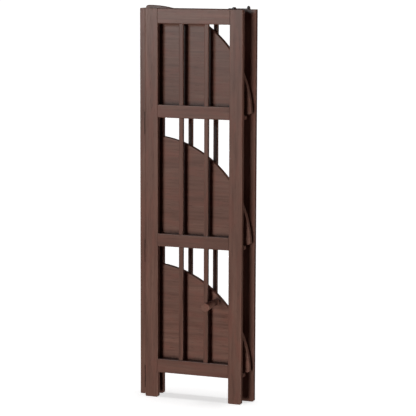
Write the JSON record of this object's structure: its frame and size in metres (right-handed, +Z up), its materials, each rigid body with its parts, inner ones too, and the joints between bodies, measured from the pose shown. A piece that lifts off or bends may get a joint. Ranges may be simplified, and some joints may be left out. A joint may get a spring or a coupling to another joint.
{
  "type": "folding corner stand",
  "caption": "Slatted wooden corner stand, folded flat: a hinged front panel, quarter-round shelves that drop from the back panel, a leg under the lowest shelf, and a top hook.",
  "frame": {"origin": "centre of the footprint, on the floor under the feet", "axes": "+Z up and the longest extent; +Y towards the back panel, so the front panel faces -Y; +X to the right as seen from the front"},
  "size_m": [0.3258, 0.1204, 1.0762],
  "materials": {
    "dark_wood": "dark walnut stain, satin, grain upright",
    "dark_wood_rails": "dark walnut stain, satin, grain across",
    "dark_wood_shelves": "dark walnut stain, satin, grain across the shelf",
    "dark_wood_leg": "dark walnut stain, turned, grain along the leg",
    "hinge_metal": "dark bronze, semi-matt",
    "latch_metal": "black, semi-gloss"
  },
  "bodies": {
    "back_frame": {"back_stile_left": "dark_wood", "back_stile_right": "dark_wood", "back_rail_bottom": "dark_wood_rails", "back_rail_lower": "dark_wood_rails", "back_rail_upper": "dark_wood_rails", "back_rail_top": "dark_wood_rails", "back_slat_1": "dark_wood", "back_slat_2": "dark_wood", "back_slat_3": "dark_wood", "back_slat_4": "dark_wood", "back_slat_5": "dark_wood", "back_slat_6": "dark_wood", "corner_post": "dark_wood", "hinge_blocks_bottom": "dark_wood_rails", "hinge_blocks_middle": "dark_wood_rails", "hinge_blocks_top": "dark_wood_rails", "bottom_hinge_fixed_leaves": "hinge_metal", "middle_hinge_fixed_leaves": "hinge_metal", "top_hinge_fixed_leaves": "hinge_metal", "bottom_hinge_pins": "hinge_metal", "middle_hinge_pins": "hinge_metal", "top_hinge_pins": "hinge_metal", "panel_hinge_1_post_leaf": "hinge_metal", "panel_hinge_2_post_leaf": "hinge_metal", "panel_hinge_3_post_leaf": "hinge_metal", "panel_hinge_1_pin": "hinge_metal", "panel_hinge_2_pin": "hinge_metal", "panel_hinge_3_pin": "hinge_metal", "latch_pivot": "latch_metal"},
    "front_panel": {"front_stile_left": "dark_wood", "front_stile_right": "dark_wood", "front_rail_bottom": "dark_wood_rails", "front_rail_lower": "dark_wood_rails", "front_rail_upper": "dark_wood_rails", "front_rail_top": "dark_wood_rails", "front_slat_1": "dark_wood", "front_slat_2": "dark_wood", "front_slat_3": "dark_wood", "front_slat_4": "dark_wood", "front_slat_5": "dark_wood", "front_slat_6": "dark_wood", "shelf_rest_bottom": "dark_wood_rails", "shelf_rest_middle": "dark_wood_rails", "shelf_rest_top": "dark_wood_rails", "panel_hinge_1_swing_leaf": "hinge_metal", "panel_hinge_2_swing_leaf": "hinge_metal", "panel_hinge_3_swing_leaf": "hinge_metal", "latch_catch_stud": "latch_metal", "latch_catch_knob": "latch_metal"},
    "bottom_shelf": {"shelf_bottom": "dark_wood_shelves", "shelf_leg": "dark_wood_leg", "bottom_hinge_shelf_leaves": "hinge_metal"},
    "middle_shelf": {"shelf_middle": "dark_wood_shelves", "middle_hinge_shelf_leaves": "hinge_metal"},
    "top_shelf": {"shelf_top": "dark_wood_shelves", "top_hinge_shelf_leaves": "hinge_metal"},
    "latch_arm": {"latch_hook": "latch_metal"}
  },
  "joints": [
    {"name": "front_panel_hinge", "type": "hinge", "parent": "back_frame", "child": "front_panel", "pos_m": [-0.1437, 0.01735, 0.422], "axis": [0, 0, 1], "range_deg": [-90, 0]},
    {"name": "bottom_shelf_hinge", "type": "hinge", "parent": "back_frame", "child": "bottom_shelf", "pos_m": [0.0107, 0.02195, 0.0821], "axis": [1, 0, 0], "range_deg": [0, 1.2]},
    {"name": "middle_shelf_hinge", "type": "hinge", "parent": "back_frame", "child": "middle_shelf", "pos_m": [0.0107, 0.02195, 0.4341], "axis": [1, 0, 0], "range_deg": [0, 1.2]},
    {"name": "top_shelf_hinge", "type": "hinge", "parent": "back_frame", "child": "top_shelf", "pos_m": [0.0107, 0.02195, 0.7861], "axis": [1, 0, 0], "range_deg": [0, 1.2]},
    {"name": "latch_hook_pivot", "type": "hinge", "parent": "back_frame", "child": "latch_arm", "pos_m": [0.1394, 0.05215, 1.068], "axis": [0, 0, 1], "range_deg": [0, 62.45]}
  ]
}
